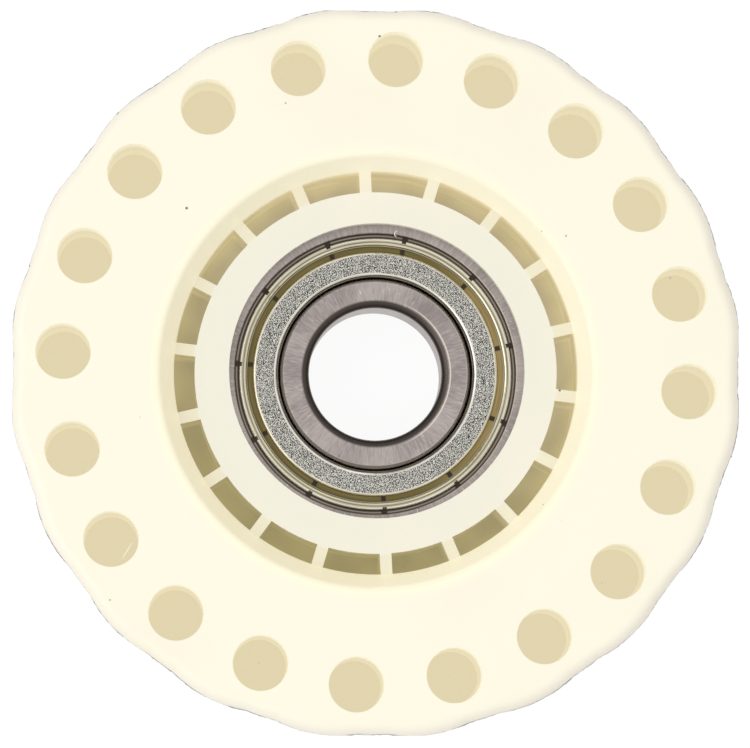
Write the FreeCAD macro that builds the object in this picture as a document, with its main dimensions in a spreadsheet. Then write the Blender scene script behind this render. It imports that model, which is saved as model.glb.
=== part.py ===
import FreeCAD, Part
import math
import os
import re
import Sketcher

# Ribbed plastic wheel moulded round a shielded deep-groove ball bearing, in millimetres.
# The wheel lies on its back: Z is the bearing's axis, and the origin is the middle of the back face.

SIZES = {
    "bore_diameter": 17.0,
    "ring_diameter": 40.0,
    "bearing_width": 12.0,
    "bore_corner": 1.1,
    "ring_corner": 0.6,
    "ball_diameter": 6.747,
    "ball_count": 8,
    "ball_pitch_diameter": 28.5,
    "race_conformity": 0.52,
    "race_clearance": 0.02,
    "inner_shoulder_diameter": 24.5,
    "inner_shoulder_chamfer": 0.15,
    "inner_step_diameter": 23.7,
    "inner_step_depth": 1.4,
    "inner_edge_chamfer": 0.1,
    "outer_shoulder_diameter": 33.3,
    "cage_thickness": 0.7,
    "cage_width": 3.4,
    "cage_clearance": 0.1,
    "rivet_diameter": 1.2,
    "rivet_head_diameter": 2.1,
    "rivet_head_height": 0.5,
    "shield_thickness": 0.3,
    "shield_recess": 0.25,
    "shield_hole_diameter": 25.2,
    "shield_lip_diameter": 24.4,
    "shield_lip_depth": 0.7,
    "shield_flat_diameter": 31.4,
    "shield_bend_radius": 0.35,
    "shield_groove_depth": 0.55,
    "bead_inner_diameter": 33.0,
    "bead_width": 1.04,
    "bead_rise": 0.52,
    "shield_foot_width": 0.6,
    "shield_notch_count": 11,
    "shield_notch_width": 0.55,
    "shield_notch_depth": 0.44,
    "shield_dimple_diameter": 0.5,
    "shield_turn": 12.2,
    "shield_seat_depth": 1.25,
    "shield_seat_clearance": 0.05,
    "shield_snap_overhang": 0.15,
    "land_chamfer": 0.1,
    "wheel_thickness": 19.0,
    "rear_lip_thickness": 2.0,
    "front_lip_thickness": 2.0,
    "lip_diameter": 37.8,
    "lip_offset": 0.32,
    "lip_offset_turn": 60.0,
    "hub_diameter": 46.3,
    "slot_outer_diameter": 51.6,
    "slot_floor_height": 3.0,
    "rib_count": 18,
    "rib_thickness": 1.5,
    "rib_turn": 13.1,
    "band_outer_diameter": 55.5,
    "band_edge_radius": 1.0,
    "pocket_count": 20,
    "pocket_diameter": 7.1,
    "pocket_pitch_diameter": 80.0,
    "pocket_floor_height": 5.0,
    "pocket_draft": 0.5,
    "pocket_turn": 14.4,
    "rim_diameter": 93.4,
    "rim_edge_radius": 1.5,
    "rim_draft": 1.5,
    "lobe_depth": 0.5,
    "lobe_span": 13.0,
    "lobe_turn": 8.5,
}

# Places that several pieces share, as formulas of the sizes.
BORE_RADIUS = "bore_diameter / 2"
RING_RADIUS = "ring_diameter / 2"
MID_PLANE = "bearing_width / 2"
PITCH_RADIUS = "ball_pitch_diameter / 2"
BALL_RADIUS = "ball_diameter / 2"
RACE_RADIUS = "race_conformity * ball_diameter"
SEAT_FLOOR = "bearing_width - shield_seat_depth"
BEAD_OUTSIDE = "(bead_inner_diameter / 2 + bead_width)"
SHIELD_EDGE = f"({BEAD_OUTSIDE} + shield_foot_width)"
SNAP_WALL = f"({SHIELD_EDGE} + shield_seat_clearance)"
BEARING_BACK = "rear_lip_thickness"
BEARING_FRONT = "(rear_lip_thickness + bearing_width)"
HUB_FACE = f"({BEARING_FRONT} + front_lip_thickness)"
RIM_RADIUS = "rim_diameter / 2"
VALLEY_RADIUS = "(rim_diameter / 2 - lobe_depth)"

document = FreeCAD.newDocument("wheel_bearing")
sheet = document.addObject("Spreadsheet::Sheet", "Sizes")


def fill_sheet():
    """Write each size into the sheet: its name in column A, its number in column B, with an alias."""
    for row, (name, value) in enumerate(SIZES.items(), start=1):
        sheet.set(f"A{row}", name)
        sheet.set(f"B{row}", str(value))
        sheet.setAlias(f"B{row}", name)
    document.recompute()


def bound(formula):
    """The formula with each size name led by the sheet's name."""
    return re.sub(r"[a-z_]+", lambda word: "Sizes." + word[0] if word[0] in SIZES else word[0], formula)


def number(formula):
    """The present value of a formula."""
    return float(sheet.evalExpression(bound(formula)))


def bind(target, path, formula):
    """Tie one property of an object to a formula of the sizes."""
    target.setExpression(path, bound(formula))


def new_body(name):
    """An empty body, whose label becomes the name of the piece."""
    body = document.addObject("PartDesign::Body", name)
    body.Label = name
    return body


def origin_feature(body, role):
    """The body's own plane or axis with the given role."""
    return next(item for item in body.Origin.OriginFeatures if item.Role == role)


def new_sketch(body, name, plane, lift="0", turn="0"):
    """A sketch on one of the body's own planes, lifted along Z and turned about Z.

    A sketch on XZ_Plane has X to the right and Z up, so its own Y axis is the body's Z axis.
    """
    sketch = body.newObject("Sketcher::SketchObject", name)
    sketch.AttachmentSupport = [(origin_feature(body, plane), "")]
    sketch.MapMode = "FlatFace"
    upright = plane == "XZ_Plane"
    axis = FreeCAD.Vector(0, 1, 0) if upright else FreeCAD.Vector(0, 0, 1)
    angle = number(turn)
    base = FreeCAD.Vector(0, 0, 0) if upright else FreeCAD.Vector(0, 0, number(lift))
    sketch.AttachmentOffset = FreeCAD.Placement(base, FreeCAD.Rotation(axis, angle))
    if not upright:
        bind(sketch, "AttachmentOffset.Base.z", lift)
    if turn != "0":
        bind(sketch, "AttachmentOffset.Rotation.Angle", turn)
    return sketch


def fix_point(sketch, geometry, point, x, y):
    """Hold one point of the sketch at (x, y), both formulas, from the sketch's origin."""
    for kind, formula in (("DistanceX", x), ("DistanceY", y)):
        constraint = Sketcher.Constraint(kind, -1, 1, geometry, point, number(formula))
        index = sketch.addConstraint(constraint)
        bind(sketch, f"Constraints[{index}]", formula)


def fix_radius(sketch, geometry, radius):
    """Hold the radius of a circle or an arc."""
    index = sketch.addConstraint(Sketcher.Constraint("Radius", geometry, number(radius)))
    bind(sketch, f"Constraints[{index}]", radius)


def arc_between(start, end, radius, turn):
    """The arc of less than half a turn from start to end: turn is 1 anticlockwise, -1 clockwise.

    Its centre is off the middle of the chord c by sqrt(radius^2 - (c/2)^2), to the left of the
    way from start to end when the arc turns anticlockwise.
    """
    chord = end - start
    left = FreeCAD.Vector(-chord.y, chord.x, 0).normalize()
    reach = math.sqrt(max(radius ** 2 - (chord.Length / 2) ** 2, 0.0))
    centre = (start + end) / 2 + left * (reach * turn)
    first, last = (start, end) if turn > 0 else (end, start)
    angles = [math.atan2(point.y - centre.y, point.x - centre.x) for point in (first, last)]
    circle = Part.Circle(centre, FreeCAD.Vector(0, 0, 1), radius)
    return Part.ArcOfCircle(circle, angles[0], angles[1])


def add_outline(sketch, corners):
    """A closed outline through the corners, each held by formulas.

    A corner is (x, y) where a straight edge leaves it, or (x, y, radius, turn) where an arc does.
    """
    points = [FreeCAD.Vector(number(corner[0]), number(corner[1]), 0) for corner in corners]
    edges = []
    for place, corner in enumerate(corners):
        start = points[place]
        end = points[(place + 1) % len(points)]
        if len(corner) == 2:
            index = sketch.addGeometry(Part.LineSegment(start, end), False)
            edges.append((index, 1, 2))
        else:
            arc = arc_between(start, end, number(corner[2]), corner[3])
            index = sketch.addGeometry(arc, False)
            edges.append((index, 1, 2) if corner[3] > 0 else (index, 2, 1))
    for place, corner in enumerate(corners):
        index, start, end = edges[place]
        following = edges[(place + 1) % len(edges)]
        sketch.addConstraint(Sketcher.Constraint("Coincident", index, end, following[0], following[1]))
        fix_point(sketch, index, start, corner[0], corner[1])
        if len(corner) > 2:
            fix_radius(sketch, index, corner[2])


def add_circle(sketch, x, y, radius):
    """A circle with its centre and radius held by formulas."""
    centre = FreeCAD.Vector(number(x), number(y), 0)
    index = sketch.addGeometry(Part.Circle(centre, FreeCAD.Vector(0, 0, 1), number(radius)), False)
    fix_point(sketch, index, 3, x, y)
    fix_radius(sketch, index, radius)


def add_axis(sketch, x):
    """An upright construction line at x, which the sketch can be turned about."""
    foot = FreeCAD.Vector(number(x), 0, 0)
    head = FreeCAD.Vector(number(x), 1, 0)
    index = sketch.addGeometry(Part.LineSegment(foot, head), True)
    fix_point(sketch, index, 1, x, "0")
    fix_point(sketch, index, 2, x, "1")


def turned(body, name, sketch, kind="Revolution", axis="V_Axis", angle="360"):
    """The sketch turned about an upright axis: a Revolution adds material and a Groove cuts it."""
    feature = body.newObject("PartDesign::" + kind, name)
    feature.Profile = sketch
    feature.ReferenceAxis = (sketch, [axis])
    if angle == "360":
        feature.Angle = 360
    else:
        feature.Midplane = True
        bind(feature, "Angle", angle)
    return feature


def padded(body, name, sketch, height):
    """The sketch raised along Z."""
    feature = body.newObject("PartDesign::Pad", name)
    feature.Profile = sketch
    bind(feature, "Length", height)
    return feature


def pocketed(body, name, sketch, depth, draft=None):
    """The sketch cut downwards along Z, narrowing with the depth where a draft is given."""
    feature = body.newObject("PartDesign::Pocket", name)
    feature.Profile = sketch
    bind(feature, "Length", depth)
    if draft:
        bind(feature, "TaperAngle", draft)
    return feature


def ringed(body, name, features, count):
    """The features repeated evenly round the body's Z axis."""
    pattern = body.newObject("PartDesign::PolarPattern", name)
    pattern.Originals = features
    pattern.Axis = (origin_feature(body, "Z_Axis"), [""])
    pattern.Angle = 360
    bind(pattern, "Occurrences", count)
    body.Tip = pattern
    return pattern


def place(piece, x="0", y="0", z="0"):
    """Move a whole piece to (x, y, z)."""
    for letter, formula in (("x", x), ("y", y), ("z", z)):
        if formula != "0":
            bind(piece, f"Placement.Base.{letter}", formula)


def make_outer_ring():
    """Ground ring with a ball race inside and a snap seat for a shield at each end."""
    groove_centre = f"({PITCH_RADIUS} + {BALL_RADIUS} + race_clearance - {RACE_RADIUS})"
    shoulder = "outer_shoulder_diameter / 2"
    half_race = f"sqrt(({RACE_RADIUS}) ^ 2 - ({shoulder} - {groove_centre}) ^ 2)"
    mouth = f"({SNAP_WALL} - shield_snap_overhang)"
    snap_depth = "(shield_seat_depth - shield_thickness - shield_seat_clearance)"
    corners = [
        (f"{RING_RADIUS} - ring_corner", "0", "ring_corner", 1),
        (RING_RADIUS, "ring_corner"),
        (RING_RADIUS, "bearing_width - ring_corner", "ring_corner", 1),
        (f"{RING_RADIUS} - ring_corner", "bearing_width"),
        (f"{mouth} + land_chamfer", "bearing_width"),
        (mouth, "bearing_width - land_chamfer"),
        (mouth, f"bearing_width - {snap_depth}"),
        (SNAP_WALL, f"bearing_width - {snap_depth}"),
        (SNAP_WALL, SEAT_FLOOR),
        (shoulder, SEAT_FLOOR),
        (shoulder, f"{MID_PLANE} + {half_race}", RACE_RADIUS, -1),
        (shoulder, f"{MID_PLANE} - {half_race}"),
        (shoulder, "shield_seat_depth"),
        (SNAP_WALL, "shield_seat_depth"),
        (SNAP_WALL, snap_depth),
        (mouth, snap_depth),
        (mouth, "land_chamfer"),
        (f"{mouth} + land_chamfer", "0"),
    ]
    body = new_body("outer_ring")
    sketch = new_sketch(body, "OuterRingSection", "XZ_Plane")
    add_outline(sketch, corners)
    turned(body, "OuterRingTurning", sketch)
    place(body, z=BEARING_BACK)
    return body


def make_inner_ring():
    """Ground ring with the shaft's bore, rounded bore corners and a ball race outside.

    At each face the shoulder steps down to a low land, and the shield's lip reaches over it.
    """
    groove_centre = f"({PITCH_RADIUS} - {BALL_RADIUS} - race_clearance + {RACE_RADIUS})"
    shoulder = "inner_shoulder_diameter / 2"
    half_race = f"sqrt(({RACE_RADIUS}) ^ 2 - ({groove_centre} - {shoulder}) ^ 2)"
    step = "inner_step_diameter / 2"
    far_step = "(bearing_width - inner_step_depth)"
    corners = [
        (f"{BORE_RADIUS} + bore_corner", "0"),
        (f"{step} - inner_edge_chamfer", "0"),
        (step, "inner_edge_chamfer"),
        (step, "inner_step_depth"),
        (f"{shoulder} - inner_shoulder_chamfer", "inner_step_depth"),
        (shoulder, "inner_step_depth + inner_shoulder_chamfer"),
        (shoulder, f"{MID_PLANE} - {half_race}", RACE_RADIUS, -1),
        (shoulder, f"{MID_PLANE} + {half_race}"),
        (shoulder, f"{far_step} - inner_shoulder_chamfer"),
        (f"{shoulder} - inner_shoulder_chamfer", far_step),
        (step, far_step),
        (step, "bearing_width - inner_edge_chamfer"),
        (f"{step} - inner_edge_chamfer", "bearing_width"),
        (f"{BORE_RADIUS} + bore_corner", "bearing_width", "bore_corner", 1),
        (BORE_RADIUS, "bearing_width - bore_corner"),
        (BORE_RADIUS, "bore_corner", "bore_corner", 1),
    ]
    body = new_body("inner_ring")
    sketch = new_sketch(body, "InnerRingSection", "XZ_Plane")
    add_outline(sketch, corners)
    turned(body, "InnerRingTurning", sketch)
    place(body, z=BEARING_BACK)
    return body


def make_shield(name, height):
    """Pressed sheet cover: lip, flat, stepped groove, rolled bead and a foot that snaps into the ring.

    The lip slants from the hole's edge in over the inner ring's land. Its lower side lies one thickness
    off its upper side, along (drop, -run) / slant, where run and drop are the lip's own width and height.
    The bead is cut through at each notch, and a dimple in the groove lies beside each notch.
    """
    lip = "shield_lip_diameter / 2"
    hole = "shield_hole_diameter / 2"
    run = f"({hole} - {lip})"
    drop = "(shield_lip_depth - shield_bend_radius)"
    slant = f"sqrt({run} ^ 2 + {drop} ^ 2)"
    outward = f"shield_thickness * {drop} / {slant}"
    downward = f"shield_thickness * {run} / {slant}"
    flat_end = "shield_flat_diameter / 2"
    bead_start = "bead_inner_diameter / 2"
    top = "(bearing_width - shield_recess)"
    groove = f"({top} - shield_groove_depth)"
    foot_top = f"({SEAT_FLOOR} + shield_thickness)"
    inner_bend = "(shield_bend_radius - shield_thickness)"
    bead_top = f"({groove} + bead_rise)"
    corners = [
        (lip, f"{top} - shield_lip_depth"),
        (f"{lip} + {outward}", f"{top} - shield_lip_depth - {downward}"),
        (f"{hole} + {outward}", f"{top} - shield_bend_radius - {downward}"),
        (f"{hole} + shield_thickness", f"{top} - shield_bend_radius", inner_bend, -1),
        (f"{hole} + shield_bend_radius", f"{top} - shield_thickness"),
        (f"{flat_end} - shield_bend_radius", f"{top} - shield_thickness", inner_bend, -1),
        (f"{flat_end} - shield_thickness", f"{top} - shield_bend_radius"),
        (f"{flat_end} - shield_thickness", f"{groove} - shield_thickness"),
        (f"{bead_start} + shield_thickness", f"{groove} - shield_thickness"),
        (f"{bead_start} + shield_thickness", f"{bead_top} - shield_bend_radius", inner_bend, -1),
        (f"{bead_start} + shield_bend_radius", f"{bead_top} - shield_thickness"),
        (f"{BEAD_OUTSIDE} - shield_bend_radius", f"{bead_top} - shield_thickness", inner_bend, -1),
        (f"{BEAD_OUTSIDE} - shield_thickness", f"{bead_top} - shield_bend_radius"),
        (f"{BEAD_OUTSIDE} - shield_thickness", SEAT_FLOOR),
        (SHIELD_EDGE, SEAT_FLOOR),
        (SHIELD_EDGE, foot_top),
        (BEAD_OUTSIDE, foot_top),
        (BEAD_OUTSIDE, f"{bead_top} - shield_bend_radius", "shield_bend_radius", 1),
        (f"{BEAD_OUTSIDE} - shield_bend_radius", bead_top),
        (f"{bead_start} + shield_bend_radius", bead_top, "shield_bend_radius", 1),
        (bead_start, f"{bead_top} - shield_bend_radius"),
        (bead_start, groove),
        (flat_end, groove),
        (flat_end, f"{top} - shield_bend_radius", "shield_bend_radius", 1),
        (f"{flat_end} - shield_bend_radius", top),
        (f"{hole} + shield_bend_radius", top, "shield_bend_radius", 1),
        (hole, f"{top} - shield_bend_radius"),
    ]
    body = new_body(name)
    section = new_sketch(body, name + "_section", "XZ_Plane")
    add_outline(section, corners)
    turned(body, name + "_pressing", section)

    notch_start = f"{BEAD_OUTSIDE} - shield_notch_depth"
    notch_end = f"{BEAD_OUTSIDE} + shield_notch_depth / 4"
    half_notch = "shield_notch_width / 2"
    notch = new_sketch(
        body, name + "_notch_outline", "XY_Plane", lift="bearing_width", turn="shield_turn"
    )
    add_outline(notch, [
        (notch_start, f"-{half_notch}"),
        (notch_end, f"-{half_notch}"),
        (notch_end, half_notch),
        (notch_start, half_notch),
    ])
    add_circle(notch, f"({flat_end} + {bead_start}) / 2", "0", "shield_dimple_diameter / 2")
    cut = pocketed(body, name + "_notch", notch, f"bearing_width - {foot_top}")
    ringed(body, name + "_notches", [cut], "shield_notch_count")
    place(body, z=height)
    return body


def turned_over(piece):
    """The same piece with its face down: half a turn about the X axis through its own origin."""
    half_turn = FreeCAD.Rotation(FreeCAD.Vector(1, 0, 0), 180)
    piece.Placement = FreeCAD.Placement(piece.Placement.Base, half_turn)
    return piece


def make_ball(index):
    """One ball of the set, on the pitch circle in the bearing's middle plane."""
    ball = document.addObject("Part::Sphere", f"ball_{index + 1}")
    ball.Label = f"ball_{index + 1}"
    bind(ball, "Radius", BALL_RADIUS)
    turn = f"{index} * 360 / ball_count"
    place(
        ball,
        x=f"{PITCH_RADIUS} * cos({turn})",
        y=f"{PITCH_RADIUS} * sin({turn})",
        z=f"{BEARING_BACK} + {MID_PLANE}",
    )
    return ball


def quarter_disc(sketch, centre, radius):
    """A quarter disc standing on the sketch's X axis, right of an upright construction axis at centre."""
    add_outline(sketch, [
        (centre, "0"),
        (f"{centre} + {radius}", "0", radius, 1),
        (centre, radius),
    ])
    add_axis(sketch, centre)


def make_cage_half(name):
    """Pressed ribbon: a flat ring with a cup over each ball and a rivet hole between the cups."""
    inside = f"({PITCH_RADIUS} - cage_width / 2)"
    outside = f"({PITCH_RADIUS} + cage_width / 2)"
    hollow = f"({BALL_RADIUS} + cage_clearance)"
    cup = f"({hollow} + cage_thickness)"
    body = new_body(name)

    web = new_sketch(body, name + "_web", "XY_Plane")
    add_circle(web, "0", "0", outside)
    add_circle(web, "0", "0", inside)
    padded(body, name + "_ribbon", web, "cage_thickness")

    dome = new_sketch(body, name + "_cup_section", "XZ_Plane")
    quarter_disc(dome, PITCH_RADIUS, cup)
    one_cup = turned(body, name + "_cup", dome, axis="Axis0")
    ringed(body, name + "_cups", [one_cup], "ball_count")

    room = new_sketch(body, name + "_hollow_section", "XZ_Plane")
    quarter_disc(room, PITCH_RADIUS, hollow)
    one_hollow = turned(body, name + "_hollow", room, kind="Groove", axis="Axis0")
    ringed(body, name + "_hollows", [one_hollow], "ball_count")

    trim = new_sketch(body, name + "_trim_outline", "XY_Plane", lift=f"{cup} + cage_thickness")
    add_circle(trim, "0", "0", inside)
    add_circle(trim, "0", "0", outside)
    add_circle(trim, "0", "0", f"{outside} + {cup}")
    pocketed(body, name + "_trim", trim, f"{cup} + 2 * cage_thickness")

    hole = new_sketch(
        body, name + "_rivet_outline", "XY_Plane", lift="cage_thickness", turn="180 / ball_count"
    )
    add_circle(hole, PITCH_RADIUS, "0", "rivet_diameter / 2")
    one_hole = pocketed(body, name + "_rivet_hole", hole, "cage_thickness")
    ringed(body, name + "_rivet_holes", [one_hole], "ball_count")
    place(body, z=f"{BEARING_BACK} + {MID_PLANE}")
    return body


def make_rivet(index):
    """One rivet through both cage halves, with a domed head at each end."""
    name = f"cage_rivet_{index + 1}"
    shank = "rivet_diameter / 2"
    head = "rivet_head_diameter / 2"
    dome = "(rivet_head_diameter ^ 2 / 4 + rivet_head_height ^ 2) / (2 * rivet_head_height)"
    corners = [
        ("0", "-cage_thickness - rivet_head_height", dome, 1),
        (head, "-cage_thickness"),
        (shank, "-cage_thickness"),
        (shank, "cage_thickness"),
        (head, "cage_thickness", dome, 1),
        ("0", "cage_thickness + rivet_head_height"),
    ]
    body = new_body(name)
    sketch = new_sketch(body, name + "_section", "XZ_Plane")
    add_outline(sketch, corners)
    turned(body, name + "_turning", sketch)
    turn = f"({index} + 0.5) * 360 / ball_count"
    place(
        body,
        x=f"{PITCH_RADIUS} * cos({turn})",
        y=f"{PITCH_RADIUS} * sin({turn})",
        z=f"{BEARING_BACK} + {MID_PLANE}",
    )
    return body


def rim_corners(radius):
    """The rim's outline at its largest radius, from the back face to the front: edge, wall, edge.

    The wall leans in towards the back by the draft d. Each rounded edge has its centre one edge radius
    e inside the rim and meets the wall at e * (cos d, -sin d) from there.
    """
    front = f"({radius} - rim_edge_radius)"
    back = f"({front} - (wheel_thickness - 2 * rim_edge_radius) * tan(rim_draft))"
    across = "rim_edge_radius * cos(rim_draft)"
    below = "rim_edge_radius * sin(rim_draft)"
    return [
        (back, "0", "rim_edge_radius", 1),
        (f"{back} + {across}", f"rim_edge_radius - {below}"),
        (f"{front} + {across}", f"wheel_thickness - rim_edge_radius - {below}", "rim_edge_radius", 1),
        (front, "wheel_thickness"),
    ]


def add_rim_lobes(body):
    """Shallow lobes round the rim, one beside each pocket: arcs that rise from the round disc.

    With half chord c = valley * sin(half span) and rise s = peak - valley * cos(half span), a lobe's
    radius is (c^2 + s^2) / (2 s). It is turned about its own axis a little past both its ends, so that
    it runs into the disc.
    """
    half_span = "lobe_span / 2"
    half_chord = f"({VALLEY_RADIUS} * sin({half_span}))"
    rise = f"({RIM_RADIUS} - {VALLEY_RADIUS} * cos({half_span}))"
    lobe_radius = f"(({half_chord} ^ 2 + {rise} ^ 2) / (2 * {rise}))"
    root = f"{RIM_RADIUS} - 3 * rim_edge_radius"
    sketch = new_sketch(body, "LobeSection", "XZ_Plane", turn="lobe_turn")
    add_outline(sketch, [(root, "0"), *rim_corners(RIM_RADIUS), (root, "wheel_thickness")])
    add_axis(sketch, f"{RIM_RADIUS} - {lobe_radius}")
    half_turn = f"(asin({half_chord} / {lobe_radius}) * 1.1)"
    lobe = turned(body, "Lobe", sketch, axis="Axis0", angle=f"2 * {half_turn}")
    ringed(body, "Lobes", [lobe], "pocket_count")


def add_rib_slots(body):
    """Blind slots between the hub and the flange, which leave straight ribs of even thickness.

    A slot is centred between two ribs. Its side is rib_thickness / 2 off the rib's middle line, so at
    radius R the side lies asin(rib_thickness / 2 / R) inside the rib's own direction.
    """
    half_step = "180 / rib_count"
    hub = "hub_diameter / 2"
    wall = "slot_outer_diameter / 2"
    hub_angle = f"({half_step} - asin(rib_thickness / hub_diameter) / 1 deg)"
    wall_angle = f"({half_step} - asin(rib_thickness / slot_outer_diameter) / 1 deg)"
    sketch = new_sketch(
        body, "SlotOutline", "XY_Plane", lift="wheel_thickness", turn=f"rib_turn + {half_step}"
    )
    add_outline(sketch, [
        (f"{hub} * cos({hub_angle})", f"-{hub} * sin({hub_angle})"),
        (f"{wall} * cos({wall_angle})", f"-{wall} * sin({wall_angle})", wall, 1),
        (f"{wall} * cos({wall_angle})", f"{wall} * sin({wall_angle})"),
        (f"{hub} * cos({hub_angle})", f"{hub} * sin({hub_angle})", hub, -1),
    ])
    slot = pocketed(body, "Slot", sketch, "wheel_thickness - slot_floor_height")
    ringed(body, "Slots", [slot], "rib_count")


def add_pockets(body):
    """Blind round coring pockets near the rim, slightly narrower at the floor."""
    sketch = new_sketch(body, "PocketOutline", "XY_Plane", lift="wheel_thickness", turn="pocket_turn")
    add_circle(sketch, "pocket_pitch_diameter / 2", "0", "pocket_diameter / 2")
    pocket = pocketed(
        body, "CoringPocket", sketch, "wheel_thickness - pocket_floor_height", draft="-pocket_draft"
    )
    ringed(body, "CoringPockets", [pocket], "pocket_count")


def make_wheel_body():
    """The moulded wheel: it wraps the bearing's outer ring and laps over both of its faces."""
    mouth = "(lip_diameter / 2 - 2 * lip_offset)"
    corners = [
        ("lip_diameter / 2", "0"),
        *rim_corners(VALLEY_RADIUS),
        ("band_outer_diameter / 2", "wheel_thickness"),
        ("slot_outer_diameter / 2", HUB_FACE),
        (mouth, HUB_FACE),
        (mouth, BEARING_FRONT),
        (f"{RING_RADIUS} - ring_corner", BEARING_FRONT, "ring_corner", -1),
        (RING_RADIUS, f"{BEARING_FRONT} - ring_corner"),
        (RING_RADIUS, f"{BEARING_BACK} + ring_corner", "ring_corner", -1),
        (f"{RING_RADIUS} - ring_corner", BEARING_BACK),
        ("lip_diameter / 2", BEARING_BACK),
    ]
    body = new_body("wheel_body")
    section = new_sketch(body, "WheelSection", "XZ_Plane")
    add_outline(section, corners)
    turned(body, "WheelMoulding", section)

    opening = new_sketch(body, "LipOutline", "XY_Plane", lift=HUB_FACE)
    across = "lip_offset * cos(lip_offset_turn)"
    up = "lip_offset * sin(lip_offset_turn)"
    add_circle(opening, across, up, "lip_diameter / 2")
    pocketed(body, "LipOpening", opening, "front_lip_thickness")

    add_rim_lobes(body)
    round_band_edge(body)
    add_rib_slots(body)
    add_pockets(body)
    return body


def round_band_edge(body):
    """Soften the edge where the sloped band meets the flange's face."""
    document.recompute()
    edge_radius = number("band_outer_diameter / 2")
    names = []
    for place_in_list, edge in enumerate(body.Shape.Edges, start=1):
        circle = edge.Curve
        if not isinstance(circle, Part.Circle):
            continue
        level = abs(circle.Center.z - number("wheel_thickness")) < 1e-6
        if level and abs(circle.Radius - edge_radius) < 1e-6:
            names.append(f"Edge{place_in_list}")
    fillet = body.newObject("PartDesign::Fillet", "BandEdge")
    fillet.Base = (body.Tip if body.Tip != fillet else fillet.BaseFeature, names)
    bind(fillet, "Radius", "band_edge_radius")
    body.Tip = fillet


def check_features():
    """Stop if any feature failed, a sketch is loose or a piece has no sound shape."""
    for item in document.Objects:
        if "Invalid" in item.State or "Error" in item.State:
            raise RuntimeError(f"{item.Name} failed: {item.State}")
        if item.TypeId == "Sketcher::SketchObject" and item.solve() != 0:
            raise RuntimeError(f"{item.Name} has constraints that don't agree")


def export_pieces(pieces):
    """Write each piece to parts/ under its label."""
    os.makedirs("parts", exist_ok=True)
    for piece in pieces:
        shape = piece.Shape
        if shape.isNull() or not shape.isValid() or shape.Volume <= 0:
            raise RuntimeError(f"{piece.Label} has no sound shape")
        shape.exportStep(f"parts/{piece.Label}.step")
        print(f"{piece.Label}: {len(shape.Solids)} solid, {shape.Volume:.2f} mm3")


fill_sheet()
balls = [make_ball(index) for index in range(SIZES["ball_count"])]
rivets = [make_rivet(index) for index in range(SIZES["ball_count"])]
front_cage = make_cage_half("cage_front_half")
rear_cage = turned_over(make_cage_half("cage_rear_half"))
front_shield = make_shield("shield_front", BEARING_BACK)
rear_shield = turned_over(make_shield("shield_rear", BEARING_FRONT))
pieces = [make_wheel_body(), make_outer_ring(), make_inner_ring(), front_shield, rear_shield]
pieces += [front_cage, rear_cage] + rivets + balls
document.recompute()
check_features()
export_pieces(pieces)
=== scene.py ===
# %% [markdown]
# # A moulded wheel with a ball bearing in its hub
#
# The solids come in as a fixed frame, already at their real size and place. This lesson gives each
# of them its finish, adds the thin things that a mould and a press leave behind, and lights the
# wheel as it lies on a white sheet, looked at from almost straight above.

import math

import bpy
import numpy as np
from mathutils import Matrix, Vector


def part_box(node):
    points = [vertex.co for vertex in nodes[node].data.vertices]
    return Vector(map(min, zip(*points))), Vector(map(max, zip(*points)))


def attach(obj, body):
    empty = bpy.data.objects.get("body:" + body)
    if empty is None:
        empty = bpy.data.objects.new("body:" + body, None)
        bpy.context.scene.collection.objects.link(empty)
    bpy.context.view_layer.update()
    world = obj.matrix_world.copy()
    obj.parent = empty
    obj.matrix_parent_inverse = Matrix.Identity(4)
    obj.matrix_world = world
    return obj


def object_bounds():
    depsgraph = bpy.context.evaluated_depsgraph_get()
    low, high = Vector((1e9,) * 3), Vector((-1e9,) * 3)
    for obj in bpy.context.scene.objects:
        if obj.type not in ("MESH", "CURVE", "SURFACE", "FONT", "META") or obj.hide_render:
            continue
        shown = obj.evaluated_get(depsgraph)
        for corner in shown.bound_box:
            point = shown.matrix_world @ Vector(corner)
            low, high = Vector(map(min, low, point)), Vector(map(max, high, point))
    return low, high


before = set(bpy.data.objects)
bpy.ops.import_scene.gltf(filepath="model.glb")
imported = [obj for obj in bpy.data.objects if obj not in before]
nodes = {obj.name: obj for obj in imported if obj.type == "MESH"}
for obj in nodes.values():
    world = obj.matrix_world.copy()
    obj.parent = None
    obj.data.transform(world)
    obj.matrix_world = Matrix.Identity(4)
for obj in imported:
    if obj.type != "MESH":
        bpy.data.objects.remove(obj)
cad_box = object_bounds()

# %% [markdown]
# The heights that the finishes need are read off the frame, so a finish stays where its piece is; the
# radii are given.
# Millimetres are easier to think in for a part of this size, so one factor turns them into metres.
# The materials work in millimetres too, with the sizes whose names end in MM.

# %% Sizes from the frame
MM = 0.001


def top(name):
    """The height of a node's highest point."""
    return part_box(name)[1].z


wheel_height = top("wheel_body")
ring_face = top("outer_ring")
ring_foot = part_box("outer_ring")[0].z
shield_top = top("shield_front")
bore_radius = 8.5 * MM
hub_face = ring_face + 2.0 * MM
slot_radius = 25.8 * MM
FLANGE_MM = wheel_height / MM
HUB_FACE_MM = hub_face / MM
SLOT_MM = slot_radius / MM
BORE_MM = bore_radius / MM
RING_MIDDLE_MM = (ring_face + ring_foot) / 2 / MM
RING_HALF_MM = (ring_face - ring_foot) / 2 / MM
print("bearing face at", round(ring_face / MM, 2), "mm, flange at", round(FLANGE_MM, 2), "mm")

# %% [markdown]
# The photograph was taken from about a metre away with a long lens, almost along the bearing's axis.
# Circles at different heights shift against each other, and that gives the tilt: 3.95 degrees off
# the axis, with the camera a little to the lower left. A long lens keeps the circles round.
# The lens is found from the scale: focal length in pixels = pixels per metre * distance. The rim and
# the bore ask for slightly different aims, and the camera takes the middle of the two.

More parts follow.
